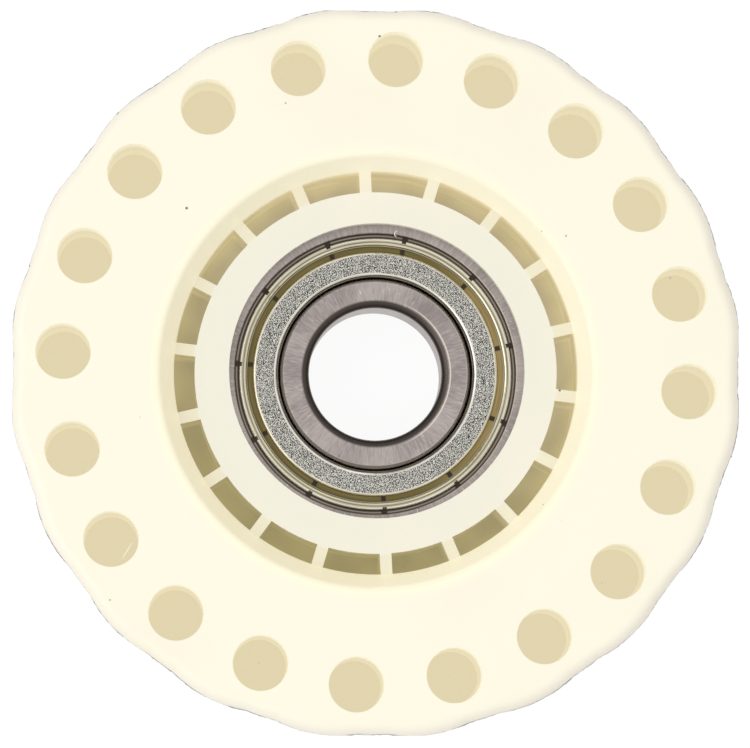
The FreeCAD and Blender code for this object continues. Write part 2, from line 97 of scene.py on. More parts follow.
# %% Camera
IMAGE_WIDTH = 750
IMAGE_HEIGHT = 748
CAMERA_DISTANCE = 1.1
PIXELS_PER_MM = 7.81
TILT = math.radians(3.95)
LEAN = Vector((-0.395, -0.919, 0.0))
FACE_CENTRE_X = 375.3
FACE_CENTRE_Y = 373.8


def matrix_of(right, up, back):
    """The turn whose columns are the camera's right, up and back."""
    return Matrix((right, up, back)).transposed()


def make_camera():
    """A camera that puts the bearing's face at its place in the picture.

    The aim is moved by (image centre - face centre) / scale, so the face's centre falls on its pixel.
    """
    data = bpy.data.cameras.new("camera")
    data.sensor_width = 36.0
    data.lens = PIXELS_PER_MM * CAMERA_DISTANCE / MM / IMAGE_WIDTH * data.sensor_width
    data.clip_end = 20.0
    camera = bpy.data.objects.new("camera", data)
    bpy.context.scene.collection.objects.link(camera)
    aim_x = (IMAGE_WIDTH / 2 - FACE_CENTRE_X) / PIXELS_PER_MM * MM
    aim_y = (FACE_CENTRE_Y - IMAGE_HEIGHT / 2) / PIXELS_PER_MM * MM
    aim = Vector((aim_x, aim_y, ring_face))
    away = LEAN * math.sin(TILT) + Vector((0.0, 0.0, math.cos(TILT)))
    camera.location = aim + away * CAMERA_DISTANCE
    right = Vector((0.0, 1.0, 0.0)).cross(away).normalized()
    up = away.cross(right)
    camera.rotation_euler = matrix_of(right, up, away).to_euler()
    bpy.context.scene.camera = camera
    return camera


camera = make_camera()
print("lens", round(camera.data.lens, 1), "mm")

# %% [markdown]
# A white tabletop studio has a bright ceiling, softer walls and a white sheet below. The world is
# brighter overhead than at the horizon, which is what makes a sloping face look different from a
# flat one. Seen by the camera itself it is plain white.

# %% World light
scene = bpy.context.scene
scene.view_settings.view_transform = "Standard"

WORLD_LOW = 0.30
WORLD_HIGH = 1.06
WORLD_CURVE = 0.7


def add(tree, kind, **values):
    """Add a node to a node tree and set its inputs, named as in Blender with _ for a space."""
    item = tree.nodes.new(kind)
    for name, value in values.items():
        item.inputs[name.replace("_", " ")].default_value = value
    return item


def calc(tree, operation, first, second=None, third=None):
    """A Math node: each operand is a number or another node's output."""
    item = tree.nodes.new("ShaderNodeMath")
    item.operation = operation
    for place, operand in enumerate((first, second, third)):
        if operand is None:
            continue
        if isinstance(operand, (int, float)):
            item.inputs[place].default_value = operand
        else:
            tree.links.new(operand, item.inputs[place])
    return item.outputs[0]


def make_world():
    """Light that grows from the horizon to the zenith: low + (high - low) * up^curve."""
    world = bpy.data.worlds.new("studio")
    world.use_nodes = True
    tree = world.node_tree
    tree.nodes.clear()
    place = add(tree, "ShaderNodeTexCoord")
    split = add(tree, "ShaderNodeSeparateXYZ")
    tree.links.new(place.outputs["Generated"], split.inputs[0])
    upward = calc(tree, "MAXIMUM", split.outputs["Z"], 0.0)
    curved = calc(tree, "POWER", upward, WORLD_CURVE)
    level = calc(tree, "MULTIPLY_ADD", curved, WORLD_HIGH - WORLD_LOW, WORLD_LOW)
    path = add(tree, "ShaderNodeLightPath")
    seen = calc(tree, "MAXIMUM", path.outputs["Is Camera Ray"], path.outputs["Is Transmission Ray"])
    strength = add(tree, "ShaderNodeMix")
    tree.links.new(seen, strength.inputs[0])
    tree.links.new(level, strength.inputs[2])
    strength.inputs[3].default_value = 1.0
    background = add(tree, "ShaderNodeBackground", Color=(1.0, 1.0, 1.0, 1.0))
    tree.links.new(strength.outputs[0], background.inputs["Strength"])
    output = add(tree, "ShaderNodeOutputWorld")
    tree.links.new(background.outputs[0], output.inputs[0])
    scene.world = world


make_world()
print("world from", WORLD_LOW, "at the horizon to", WORLD_HIGH, "overhead")

# %% [markdown]
# One large soft lamp stands to the left, as the sloped band round the hub shows: it is brightest on
# the right, where it faces left. A wide lamp far away gives soft edges to every shade.

# %% Key lamp
LAMP_POWER = 6.0
LAMP_SIZE = 1.2
LAMP_PLACE = Vector((-1.1, -0.25, 1.1))


def make_lamp():
    """A square lamp that faces the wheel."""
    data = bpy.data.lights.new("key", "AREA")
    data.energy = LAMP_POWER
    data.size = LAMP_SIZE
    lamp = bpy.data.objects.new("key", data)
    lamp.location = LAMP_PLACE
    lamp.rotation_euler = (-LAMP_PLACE).to_track_quat("-Z", "Y").to_euler()
    scene.collection.objects.link(lamp)


make_lamp()
print("lamp of", LAMP_POWER, "W at", tuple(LAMP_PLACE))

# %% [markdown]
# The sheet under the wheel is white in the picture, with only a breath of shadow. Light Path tells
# which ray asks: the camera and mirror-like reflections see a white sheet that still takes a weak
# shadow, while soft light bounces off it as off ordinary paper.

# %% Floor
FLOOR_SIZE = 3.0
FLOOR_DROP = 0.02 * MM
FLOOR_GLOW = 0.90
FLOOR_SHADE = 0.16
PAPER = 0.80


def make_floor():
    """A flat sheet a hair's breadth below the wheel, so the two faces don't lie in one plane."""
    half = FLOOR_SIZE / 2
    low = -FLOOR_DROP
    corners = [(-half, -half, low), (half, -half, low), (half, half, low), (-half, half, low)]
    mesh = bpy.data.meshes.new("floor")
    mesh.from_pydata(corners, [], [(0, 1, 2, 3)])
    floor = bpy.data.objects.new("floor", mesh)
    scene.collection.objects.link(floor)
    material = bpy.data.materials.new("white_sheet")
    material.use_nodes = True
    tree = material.node_tree
    tree.nodes.clear()
    glow = add(tree, "ShaderNodeEmission", Color=(1.0, 1.0, 1.0, 1.0), Strength=FLOOR_GLOW)
    shade = add(tree, "ShaderNodeBsdfDiffuse", Color=(FLOOR_SHADE, FLOOR_SHADE, FLOOR_SHADE, 1.0))
    shown = add(tree, "ShaderNodeAddShader")
    tree.links.new(glow.outputs[0], shown.inputs[0])
    tree.links.new(shade.outputs[0], shown.inputs[1])
    paper = add(tree, "ShaderNodeBsdfDiffuse", Color=(PAPER, PAPER, PAPER, 1.0))
    path = add(tree, "ShaderNodeLightPath")
    mirror = calc(tree, "MAXIMUM", path.outputs["Is Glossy Ray"], path.outputs["Is Transmission Ray"])
    seen = calc(tree, "MAXIMUM", path.outputs["Is Camera Ray"], mirror)
    choice = add(tree, "ShaderNodeMixShader")
    tree.links.new(seen, choice.inputs[0])
    tree.links.new(paper.outputs[0], choice.inputs[1])
    tree.links.new(shown.outputs[0], choice.inputs[2])
    output = add(tree, "ShaderNodeOutputMaterial")
    tree.links.new(choice.outputs[0], output.inputs[0])
    mesh.materials.append(material)


make_floor()
print("floor", FLOOR_SIZE, "m square")

# %% [markdown]
# Almost every finish here follows the turning of the part, so several materials need the same
# values: the distance from the axis and the height. They come from one shader node group. It also
# gives a point for patterns that run round: its first two parts are the direction from the axis, so
# there is no seam where the angle starts again, and its third part is the radius.

# %% Polar place group


def make_polar_group():
    """Radius = sqrt(x^2 + y^2) and height = z, both in mm; spread = (x / radius, y / radius, radius)."""
    group = bpy.data.node_groups.new("polar_place", "ShaderNodeTree")
    group.interface.new_socket("Radius", in_out="OUTPUT", socket_type="NodeSocketFloat")
    group.interface.new_socket("Height", in_out="OUTPUT", socket_type="NodeSocketFloat")
    group.interface.new_socket("Spread", in_out="OUTPUT", socket_type="NodeSocketVector")
    place = add(group, "ShaderNodeTexCoord")
    split = add(group, "ShaderNodeSeparateXYZ")
    group.links.new(place.outputs["Object"], split.inputs[0])
    x, y, z = split.outputs
    squares = calc(group, "ADD", calc(group, "MULTIPLY", x, x), calc(group, "MULTIPLY", y, y))
    distance = calc(group, "SQRT", squares)
    radius = calc(group, "DIVIDE", distance, MM)
    height = calc(group, "DIVIDE", z, MM)
    spread = add(group, "ShaderNodeCombineXYZ")
    group.links.new(calc(group, "DIVIDE", x, distance), spread.inputs[0])
    group.links.new(calc(group, "DIVIDE", y, distance), spread.inputs[1])
    group.links.new(radius, spread.inputs[2])
    output = group.nodes.new("NodeGroupOutput")
    group.links.new(radius, output.inputs["Radius"])
    group.links.new(height, output.inputs["Height"])
    group.links.new(spread.outputs[0], output.inputs["Spread"])
    return group


polar_group = make_polar_group()
print("group outputs:", [item.name for item in polar_group.interface.items_tree])

# %% [markdown]
# Small helpers keep each material short: a fade turns a value into a mask, a blend mixes two colours
# by a mask, and a ramp gives each radius its own colour, like the rings of a target.

# %% Material helpers


def group_node(tree, group):
    """Place a node group in a tree."""
    item = tree.nodes.new("ShaderNodeGroup")
    item.node_tree = group
    return item


def fade(tree, value, start, end):
    """0 where value is at start or before, 1 at end or past it, smooth between; start may be higher."""
    item = add(tree, "ShaderNodeMapRange")
    item.interpolation_type = "SMOOTHSTEP"
    tree.links.new(value, item.inputs["Value"])
    item.inputs["From Min"].default_value = start
    item.inputs["From Max"].default_value = end
    return item.outputs[0]


def both(tree, first, second):
    """The product of two masks: 1 only where both are 1."""
    return calc(tree, "MULTIPLY", first, second)


def blend(tree, mask, first, second, mode="MIX"):
    """Mix two colours: the first where the mask is 0, the second where it is 1."""
    item = tree.nodes.new("ShaderNodeMix")
    item.data_type = "RGBA"
    item.blend_type = mode
    for socket, operand in ((0, mask), (6, first), (7, second)):
        if isinstance(operand, (int, float)):
            item.inputs[socket].default_value = operand
        elif isinstance(operand, tuple):
            item.inputs[socket].default_value = (*operand, 1.0)
        else:
            tree.links.new(operand, item.inputs[socket])
    return item.outputs[2]


def ramp(tree, value, stops):
    """Colours along a value: stops are (value, colour), in rising order."""
    low, high = stops[0][0], stops[-1][0]
    share = calc(tree, "DIVIDE", calc(tree, "SUBTRACT", value, low), high - low)
    item = tree.nodes.new("ShaderNodeValToRGB")
    tree.links.new(share, item.inputs[0])
    elements = item.color_ramp.elements
    elements[0].color = (*stops[0][1], 1.0)
    elements[1].color = (*stops[-1][1], 1.0)
    for place, colour in stops[1:-1]:
        elements.new((place - low) / (high - low)).color = (*colour, 1.0)
    return item.outputs[0]


def noise(tree, place, scale, detail=2.0, stretch=None):
    """Noise from 0 to 1 at a place, after stretching the place by three factors."""
    item = add(tree, "ShaderNodeTexNoise", Scale=scale, Detail=detail)
    if stretch:
        mapping = add(tree, "ShaderNodeMapping", Scale=stretch)
        tree.links.new(place, mapping.inputs["Vector"])
        place = mapping.outputs[0]
    tree.links.new(place, item.inputs["Vector"])
    return item.outputs[0]


def bump(tree, shader, height, depth, strength=1.0):
    """Tilt the shader's normal by a height from 0 to 1 that stands for depth in metres."""
    item = add(tree, "ShaderNodeBump", Strength=strength, Distance=depth)
    tree.links.new(height, item.inputs["Height"])
    tree.links.new(item.outputs[0], shader.inputs["Normal"])


def object_place(tree):
    """The point of the surface in the object's own metres."""
    return add(tree, "ShaderNodeTexCoord").outputs["Object"]


def object_axes(tree):
    """The X, Y and Z of that point, each by itself."""
    split = add(tree, "ShaderNodeSeparateXYZ")
    tree.links.new(object_place(tree), split.inputs[0])
    return split.outputs


def face_offset(tree, height):
    """How far a height in mm lies from the middle of the bearing, towards either face."""
    return calc(tree, "ABSOLUTE", calc(tree, "SUBTRACT", height, RING_MIDDLE_MM))


def new_material(name, **values):
    """A material with one Principled shader, whose constants are set on its sockets."""
    material = bpy.data.materials.new(name)
    material.use_nodes = True
    tree = material.node_tree
    tree.nodes.clear()
    shader = add(tree, "ShaderNodeBsdfPrincipled", **values)
    output = add(tree, "ShaderNodeOutputMaterial")
    tree.links.new(shader.outputs[0], output.inputs[0])
    return material, tree, shader


def dress(name, material):
    """Give a CAD node its finish, in its own material slots."""
    mesh = nodes[name].data
    mesh.materials.clear()
    mesh.materials.append(material)


print("helpers ready")

# %% [markdown]
# Unpigmented nylon is a milky cream. Light goes some millimetres in before it comes out again, so
# its blind holes stay light inside and only turn warmer. Real subsurface scattering would carry that
# light, but through 14 mm of plastic it is slow and noisy, so a weak glow stands in for it: painted
# light. It grows with the depth of a pocket, and is weaker in the narrow slots and on the slope round
# them. Under the glow the pockets and slots have a darker colour, a painted shade that deepens further
# down. Towards the upper right the glow is weaker on the slope and stronger in the slots, and the
# slots' outer edge and the top of their outer wall get extra painted light there. The thin hub beside
# the steel is cooler and greyer than the thick flange, the ribs lie between the two, and a few dark
# specks are dust and burnt pellets. The back of the wheel is plain cream.

# %% Moulded nylon
FLANGE_CREAM = (0.990, 0.950, 0.775)
WARM_CREAM = (0.965, 0.895, 0.690)
HUB_CREAM = (0.880, 0.848, 0.715)
RIB_CREAM = (0.855, 0.793, 0.593)
# Painted light: glows for light through the plastic, in different strengths on the near and far sides.
BAND_GLOW = (0.12, 0.11, 0.06)
BAND_GLOW_FAR = (0.084, 0.088, 0.070)
RIM_CREAM = (0.985, 0.930, 0.790)
# Painted shade: the pocket colour here and the slot colour below are darkened for the depth.
POCKET_SHADE = (0.36, 0.33, 0.23)
POCKET_GLOWS = (
    (0.0, (0.0, 0.0, 0.0)), (0.4, (0.10, 0.10, 0.10)), (2.0, (0.20, 0.195, 0.180)),
    (5.0, (0.40, 0.375, 0.290)), (10.0, (0.46, 0.42, 0.31)), (14.0, (0.460, 0.418, 0.300)),
)
SLOT_SHADE = (0.36, 0.32, 0.21)
SLOT_GLOW = (0.225, 0.200, 0.095)
SLOT_GLOW_FAR = (0.315, 0.278, 0.185)
# Painted light added at the slots' outer edge and at the top of their far outer wall.
SLOT_EDGE_GLOW = (0.075, 0.060, 0.010)
SLOT_WALL_GLOW = (0.180, 0.165, 0.120)
SPECK = (0.16, 0.13, 0.08)
CLOUD_CREAM = (0.975, 0.915, 0.740)
MILK_SHADE = (0.80, 0.80, 0.84)
BACK_END, FRONT_START = 2.85, 2.95
HUB_EDGE = 23.1
RIM_START, RIM_END = 44.6, 46.2
POCKETS_INNER, POCKETS_OUTER = 31.0, 43.8
POCKET_FADE = 6.0
SLOT_FADE = 8.0
FAR_TURN = 0.44
FAR_START, FAR_END = -0.034, 0.027


def slot_band(tree, radius, height):
    """1 between the hub and the slots' outer wall, over all heights on the front; 0 elsewhere."""
    outside_hub = fade(tree, radius, HUB_EDGE - 0.1, HUB_EDGE)
    inside_wall = fade(tree, radius, SLOT_MM + 0.6, SLOT_MM + 0.3)
    front = fade(tree, height, BACK_END, FRONT_START)
    return both(tree, both(tree, outside_hub, inside_wall), front)


def wall_light(tree, radius, height):
    """Where painted light goes on the top of the slots' outer wall: 1 just under the hub's level, fading
    out 7 mm further down.
    """
    on_wall = fade(tree, radius, SLOT_MM - 0.25, SLOT_MM - 0.05)
    inside_wall = fade(tree, radius, SLOT_MM + 0.6, SLOT_MM + 0.3)
    rising = fade(tree, height, HUB_FACE_MM - 7.0, HUB_FACE_MM - 0.5)
    under_top = fade(tree, height, HUB_FACE_MM - 0.02, HUB_FACE_MM - 0.1)
    return both(tree, both(tree, on_wall, inside_wall), both(tree, rising, under_top))


def make_nylon():
    """Cream by place: cool on the hub, warm on the slope, with painted shade and a painted glow in the
    holes and slots, and sparse specks.
    """
    material, tree, shader = new_material("cream_nylon", Roughness=0.45, IOR=1.53, Emission_Strength=1.0)
    polar = group_node(tree, polar_group)
    radius, height = polar.outputs["Radius"], polar.outputs["Height"]
    place = object_place(tree)
    flange = fade(tree, radius, SLOT_MM + 1.6, SLOT_MM + 4.0)
    colour = blend(tree, flange, WARM_CREAM, FLANGE_CREAM)
    colour = blend(tree, fade(tree, radius, RIM_START, RIM_END), colour, RIM_CREAM)
    colour = blend(tree, fade(tree, radius, SLOT_MM + 0.1, SLOT_MM - 0.1), colour, RIB_CREAM)
    colour = blend(tree, fade(tree, radius, HUB_EDGE + 0.4, HUB_EDGE), colour, HUB_CREAM)
    front = fade(tree, height, BACK_END, FRONT_START)
    colour = blend(tree, front, FLANGE_CREAM, colour)
    cloud = noise(tree, place, 45.0, 3.0)
    colour = blend(tree, fade(tree, cloud, 0.5, 0.9), colour, CLOUD_CREAM)

    inside_ring = fade(tree, radius, POCKETS_OUTER + 0.4, POCKETS_OUTER)
    pocket_ring = both(tree, inside_ring, fade(tree, radius, POCKETS_INNER - 1.0, POCKETS_INNER))
    pocket_ring = both(tree, pocket_ring, front)
    # Painted shade in the pockets and slots, darker further down.
    sunk = fade(tree, height, FLANGE_MM - 0.3, FLANGE_MM - POCKET_FADE)
    colour = blend(tree, both(tree, sunk, pocket_ring), colour, POCKET_SHADE)
    below_hub = fade(tree, height, HUB_FACE_MM - 0.1, HUB_FACE_MM - SLOT_FADE)
    slot = both(tree, below_hub, slot_band(tree, radius, height))
    colour = blend(tree, slot, colour, SLOT_SHADE)

    # Painted light by side: the glow changes between the lower left and the upper right.
    x, y, _ = object_axes(tree)
    far = fade(tree, calc(tree, "MULTIPLY_ADD", x, FAR_TURN, y), FAR_START, FAR_END)
    above_hub = fade(tree, height, HUB_FACE_MM - 0.3, HUB_FACE_MM - 0.1)
    off_flange = calc(tree, "SUBTRACT", 1.0, flange)
    slope = both(tree, fade(tree, radius, SLOT_MM - 0.1, SLOT_MM + 0.1), off_flange)
    slope = both(tree, slope, above_hub)
    glow = blend(tree, slope, (0.0, 0.0, 0.0), blend(tree, far, BAND_GLOW, BAND_GLOW_FAR))
    depth = calc(tree, "SUBTRACT", FLANGE_MM, height)
    glow = blend(tree, pocket_ring, glow, ramp(tree, depth, POCKET_GLOWS))
    slot_glow = blend(tree, far, SLOT_GLOW, SLOT_GLOW_FAR)
    milk = noise(tree, place, 170.0, 1.0)
    slot_glow = blend(tree, fade(tree, milk, 0.35, 0.65), slot_glow, MILK_SHADE, mode="MULTIPLY")
    outer = both(tree, far, fade(tree, radius, SLOT_MM - 1.6, SLOT_MM - 0.05))
    slot_glow = blend(tree, outer, slot_glow, SLOT_EDGE_GLOW, mode="ADD")
    glow = blend(tree, slot, glow, slot_glow)
    wall = both(tree, far, wall_light(tree, radius, height))
    glow = blend(tree, wall, glow, SLOT_WALL_GLOW, mode="ADD")
    tree.links.new(glow, shader.inputs["Emission Color"])

    dots = add(tree, "ShaderNodeTexVoronoi", Scale=420.0, Randomness=1.0)
    tree.links.new(place, dots.inputs["Vector"])
    rare = noise(tree, place, 150.0, 1.0)
    near = fade(tree, dots.outputs["Distance"], 0.10, 0.04)
    colour = blend(tree, both(tree, near, fade(tree, rare, 0.62, 0.66)), colour, SPECK)
    tree.links.new(colour, shader.inputs["Base Color"])

    grain = noise(tree, place, 1500.0, 3.0)
    swell = noise(tree, place, 90.0, 2.0)
    bump(tree, shader, calc(tree, "MULTIPLY_ADD", swell, 6.0, grain), 0.00001)
    return material


nylon = make_nylon()
dress("wheel_body", nylon)
print("nylon on wheel_body")

# %% [markdown]
# The faces of bearing rings are ground flat: the wheel leaves short fine streaks, mostly across the
# ring. Noise that is stretched along the radius gives them, with a few brighter strokes among them.
# The rounded corner of the bore gets a painted dark reflection: a dark brown band for the dark
# surroundings that the curved steel mirrors. The low land round the inner ring, which the shield
# reaches over, is a non-metallic brown.

# %% Ground steel
RING_GREY = (0.270, 0.235, 0.225)
RING_LIGHT = (0.470, 0.415, 0.395)
RING_STROKE = (0.700, 0.640, 0.610)
CORNER_DARK_REFLECTION = (0.080, 0.066, 0.058)
LAND_BROWN = (0.360, 0.310, 0.265)
# A light colour, used for worn edges and for painted highlights.
WEAR_AND_HIGHLIGHT = (0.720, 0.640, 0.560)
CORNER = 1.1
STEP_RADIUS = 11.85
GLINT_RADIUS = 9.64
OPENING_RADIUS = 18.12


def streaks(tree, spread, fineness):
    """Noise that changes fast round the axis and slowly along the radius."""
    return noise(tree, spread, 1.0, 3.0, stretch=(fineness, fineness, 0.8))


def make_ring_steel(name, fineness):
    """Streaked grey steel. Returns the material, tree, shader, polar node and the colour so far."""
    material, tree, shader = new_material(name, Metallic=1.0)
    polar = group_node(tree, polar_group)
    fine = streaks(tree, polar.outputs["Spread"], fineness)
    patches = noise(tree, polar.outputs["Spread"], 1.0, 2.0, stretch=(2.2, 2.2, 0.15))
    level = calc(tree, "MULTIPLY_ADD", patches, 0.9, fine)
    colour = blend(tree, fade(tree, level, 0.6, 1.3), RING_GREY, RING_LIGHT)
    strokes = fade(tree, streaks(tree, polar.outputs["Spread"], fineness * 0.7), 0.66, 0.74)
    colour = blend(tree, strokes, colour, RING_STROKE)
    tree.links.new(calc(tree, "MULTIPLY_ADD", fine, 0.25, 0.24), shader.inputs["Roughness"])
    bump(tree, shader, fine, 0.000003)
    return material, tree, shader, polar, colour


def make_inner_ring_steel():
    """Ground face, painted dark reflection on the rounded bore corner, light worn edges, a painted glint
    on the side at +X, brown land and a plain bore wall.
    """
    material, tree, shader, polar, colour = make_ring_steel("inner_ring_steel", 60.0)
    radius, height = polar.outputs["Radius"], polar.outputs["Height"]
    half = RING_HALF_MM
    offset = face_offset(tree, height)
    on_face = fade(tree, offset, half - 0.2, half - 0.1)
    below_face = fade(tree, offset, half - 0.1, half - 0.2)
    worn = both(tree, fade(tree, radius, STEP_RADIUS - 0.16, STEP_RADIUS - 0.06), on_face)
    colour = blend(tree, worn, colour, WEAR_AND_HIGHLIGHT)
    land = both(tree, fade(tree, radius, STEP_RADIUS - 0.02, STEP_RADIUS + 0.02), below_face)
    colour = blend(tree, land, colour, LAND_BROWN)
    tree.links.new(calc(tree, "SUBTRACT", 1.0, land), shader.inputs["Metallic"])
    # Painted glint: a thin bright line round the bore's edge, only on the side at +X.
    glint_inside = fade(tree, radius, GLINT_RADIUS - 0.12, GLINT_RADIUS - 0.04)
    glint_outside = fade(tree, radius, GLINT_RADIUS + 0.12, GLINT_RADIUS + 0.04)
    towards_light = fade(tree, object_axes(tree)["X"], 2 * MM, 8 * MM)
    glint = both(tree, both(tree, glint_inside, glint_outside), both(tree, towards_light, on_face))
    colour = blend(tree, glint, colour, WEAR_AND_HIGHLIGHT)
    # Painted dark reflection: the rounded bore corner is darkened to a brown.
    corner = fade(tree, radius, BORE_MM + CORNER, BORE_MM + CORNER - 0.35)
    corner = both(tree, corner, fade(tree, offset, half - CORNER - 0.02, half - CORNER + 0.06))
    colour = blend(tree, corner, colour, CORNER_DARK_REFLECTION)
    tree.links.new(colour, shader.inputs["Base Color"])
    return material


def make_outer_ring_steel():
    """The same ground face, with a painted highlight line on the opening's edge, on the side at +X."""
    material, tree, shader, polar, colour = make_ring_steel("outer_ring_steel", 100.0)
    # Painted highlight: a bright line on the opening's edge, only on the side at +X.
    inner = fade(tree, polar.outputs["Radius"], OPENING_RADIUS + 0.08, OPENING_RADIUS)
    edge = both(tree, inner, fade(tree, object_axes(tree)["X"], 0.0, 16 * MM))
    colour = blend(tree, edge, colour, WEAR_AND_HIGHLIGHT)
    tree.links.new(colour, shader.inputs["Base Color"])
    return material


dress("inner_ring", make_inner_ring_steel())
dress("outer_ring", make_outer_ring_steel())
print("ground steel on both rings")

# %% [markdown]
# Both shields are pressed from thin sheet with a yellow passivated tint: champagne on the flat and
# the bead, olive in the groove. The bends get painted highlights in white and pale gold, the outer
# side of the groove a darker olive painted shade, the turned-down inner lip a black painted shadow,
# and the gap outside the bead, with the foot in it, a dark brown painted shade with a lighter line.
# The rings of colour follow the radius, so one ramp holds them, and fine drawing lines that run
# round the sheet lie over it. Towards the right the groove gets a painted golden reflection. Beside
# each notch it has a dark dimple of painted shade, not a dent in the solid, and the notch itself is
# painted dark down to the foot.

# %% Tinted sheet
# Painted light: the white and bright bend colours are highlights, the gold a reflection, and the dark
# olive, black, dark brown and foot colours are shade and shadow.
BEND_HIGHLIGHT = (1.000, 0.980, 0.900)
BEND_SOFT_HIGHLIGHT = (0.960, 0.910, 0.740)
CHAMPAGNE = (0.640, 0.590, 0.420)
OLIVE = (0.205, 0.165, 0.062)
OLIVE_SHADE = (0.130, 0.105, 0.045)
GROOVE_GOLD_REFLECTION = (0.420, 0.310, 0.130)
SHADE_BROWN = (0.060, 0.048, 0.036)
LIP_SHADOW = (0.012, 0.010, 0.009)
FOOT_SHADE = (0.150, 0.128, 0.100)
FOOT_LINE = (0.420, 0.380, 0.310)
NOTCHES = 11
NOTCH_TURN = math.radians(12.0)
SHIELD_RINGS = (
    (12.10, LIP_SHADOW), (12.42, LIP_SHADOW), (12.50, BEND_HIGHLIGHT), (12.95, BEND_HIGHLIGHT), (13.05, CHAMPAGNE),
    (15.25, CHAMPAGNE), (15.36, BEND_SOFT_HIGHLIGHT), (15.60, BEND_SOFT_HIGHLIGHT), (15.72, OLIVE), (16.10, OLIVE),
    (16.38, OLIVE_SHADE), (16.48, CHAMPAGNE), (16.58, BEND_HIGHLIGHT), (16.74, BEND_SOFT_HIGHLIGHT), (16.84, CHAMPAGNE),
    (16.94, OLIVE), (17.04, CHAMPAGNE), (17.12, CHAMPAGNE), (17.20, BEND_HIGHLIGHT), (17.44, BEND_HIGHLIGHT),
    (17.56, SHADE_BROWN), (17.66, FOOT_SHADE), (17.76, FOOT_LINE), (17.86, FOOT_SHADE), (17.98, SHADE_BROWN), (18.20, SHADE_BROWN),
)
LINE_SHADE = (0.62, 0.60, 0.56)
BEAD_FOOT = 5.6


def notch_wave(tree):
    """A wave round the axis that is 1 at each notch: cos(notches * (angle - first notch))."""
    x, y, _ = object_axes(tree)
    turn = calc(tree, "SUBTRACT", calc(tree, "ARCTAN2", y, x), NOTCH_TURN)
    return calc(tree, "COSINE", calc(tree, "MULTIPLY", turn, NOTCHES))


def make_sheet_steel():
    """Colour by radius with painted highlights and shade, a painted golden reflection towards +X,
    drawing lines, and painted shade in a dimple beside each notch.
    """
    material, tree, shader = new_material("tinted_sheet", Metallic=1.0)
    polar = group_node(tree, polar_group)
    radius = polar.outputs["Radius"]
    colour = ramp(tree, radius, SHIELD_RINGS)
    # Painted golden reflection in the groove, on the side at +X.
    groove = both(tree, fade(tree, radius, 15.66, 15.76), fade(tree, radius, 16.5, 16.3))
    side = fade(tree, object_axes(tree)["X"], 4 * MM, 18 * MM)
    colour = blend(tree, both(tree, groove, side), colour, GROOVE_GOLD_REFLECTION)
    # Painted shade: a dark dimple in the groove beside each notch, and each notch dark down to the foot.
    near_notch = notch_wave(tree)
    in_groove = both(tree, groove, fade(tree, radius, 16.4, 16.3))
    dimple = both(tree, in_groove, fade(tree, near_notch, 0.965, 0.99))
    colour = blend(tree, dimple, colour, SHADE_BROWN)
    offset = face_offset(tree, polar.outputs["Height"])
    low = both(tree, fade(tree, offset, BEAD_FOOT, BEAD_FOOT - 0.1), fade(tree, radius, 16.95, 17.05))
    colour = blend(tree, both(tree, low, fade(tree, near_notch, 0.955, 0.985)), colour, SHADE_BROWN)
    lines = noise(tree, polar.outputs["Spread"], 1.0, 3.0, stretch=(3.0, 3.0, 16.0))
    colour = blend(tree, fade(tree, lines, 0.75, 0.35), colour, LINE_SHADE, mode="MULTIPLY")
    tree.links.new(colour, shader.inputs["Base Color"])
    tree.links.new(calc(tree, "MULTIPLY_ADD", lines, 0.25, 0.16), shader.inputs["Roughness"])
    return material


sheet_steel = make_sheet_steel()
dress("shield_front", sheet_steel)
dress("shield_rear", sheet_steel)
print("tinted sheet on both shields")

# %% [markdown]
# The cage halves and rivets are bright pressed steel, and the balls are lapped to a mirror. The
# shields hide them, but they are there when the bearing is taken apart.

# %% Cage and balls
CAGE_LIGHT, CAGE_DARK = (0.60, 0.57, 0.52), (0.44, 0.42, 0.38)
BALL_LIGHT, BALL_DARK = (0.68, 0.68, 0.68), (0.60, 0.60, 0.61)


def make_cage_steel():
    """Bright steel with soft cloudy wear."""
    material, tree, shader = new_material("cage_steel", Metallic=1.0)
    cloud = noise(tree, object_place(tree), 900.0, 4.0)
    tree.links.new(blend(tree, cloud, CAGE_LIGHT, CAGE_DARK), shader.inputs["Base Color"])
    tree.links.new(calc(tree, "MULTIPLY_ADD", cloud, 0.25, 0.2), shader.inputs["Roughness"])
    bump(tree, shader, cloud, 0.000006)
    return material


def make_ball_steel():
    """Near mirror steel with faint haze."""
    material, tree, shader = new_material("ball_steel", Metallic=1.0)
    haze = noise(tree, object_place(tree), 700.0, 3.0)
    tree.links.new(blend(tree, haze, BALL_LIGHT, BALL_DARK), shader.inputs["Base Color"])
    tree.links.new(calc(tree, "MULTIPLY_ADD", haze, 0.08, 0.04), shader.inputs["Roughness"])
    return material


cage_steel = make_cage_steel()
ball_steel = make_ball_steel()
for name in nodes:
    if name.startswith("cage"):
        dress(name, cage_steel)
    if name.startswith("ball"):
        dress(name, ball_steel)
print("cage and balls dressed")

# %% [markdown]
# New pieces are surfaces on a grid of two parameters. All points are worked out at once as an array
# of shape (rows, columns, 3), and the faces come from index arithmetic: each face joins a point, its
# neighbour in the row and the two below them.

# %% Grid surface


def grid_faces(rows, columns, wrap_rows, wrap_columns):
    """Corner numbers of the faces of a grid, row by row; a wrapped direction closes on itself."""
    row = np.arange(rows if wrap_rows else rows - 1)
    column = np.arange(columns if wrap_columns else columns - 1)
    r, c = np.meshgrid(row, column, indexing="ij")
    r_next = (r + 1) % rows
    c_next = (c + 1) % columns
    here, below = r * columns, r_next * columns
    corners = np.stack([here + c, here + c_next, below + c_next, below + c])
    return corners.reshape(4, -1).T


